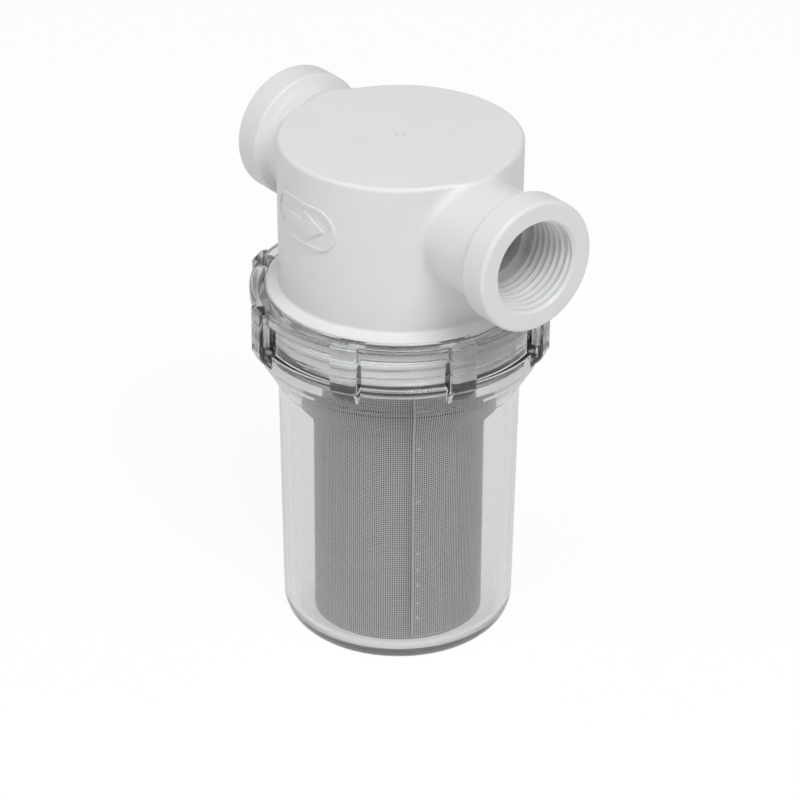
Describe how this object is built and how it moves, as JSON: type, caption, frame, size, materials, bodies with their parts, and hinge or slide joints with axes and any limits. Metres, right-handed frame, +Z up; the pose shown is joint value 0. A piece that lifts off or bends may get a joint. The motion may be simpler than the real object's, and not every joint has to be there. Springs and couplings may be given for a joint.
{
  "type": "sea water strainer",
  "caption": "Small in-line sea water strainer: white moulded head with female pipe ports in line, clear screw-on bowl with grip lugs and a fine steel mesh screen inside.",
  "frame": {"origin": "centre of the bowl's flat foot, on the axis of bowl, screen and head", "axes": "+Z up along the bowl's axis, +X with the flow towards the outlet port, flow arrow on the -Y side"},
  "size_m": [0.091, 0.0708, 0.1262],
  "materials": {
    "white_plastic": "satin moulded white plastic",
    "clear_plastic": "clear polished plastic",
    "seal_rubber": "matt black rubber",
    "mesh_steel": "woven stainless wire",
    "sheet_steel": "thin stainless sheet"
  },
  "bodies": {
    "head": {"head": "white_plastic"},
    "screen": {"screen_mesh": "mesh_steel", "screen_end_cap": "sheet_steel", "screen_top_band": "sheet_steel", "bowl_seal_ring": "seal_rubber"},
    "bowl": {"bowl": "clear_plastic"}
  },
  "joints": [
    {"name": "bowl_drop", "type": "slide", "parent": "head", "child": "screen", "axis": [0, 0, -1], "range_m": [0, 0.0091]},
    {"name": "bowl_turn", "type": "hinge", "parent": "screen", "child": "bowl", "pos_m": [0, 0, 0.0806], "axis": [0, 0, -1], "range_deg": [0, 900]}
  ],
  "couplings": [
    {"joint": "bowl_drop", "follows": "bowl_turn", "m_per_rad": 0.00057296}
  ]
}
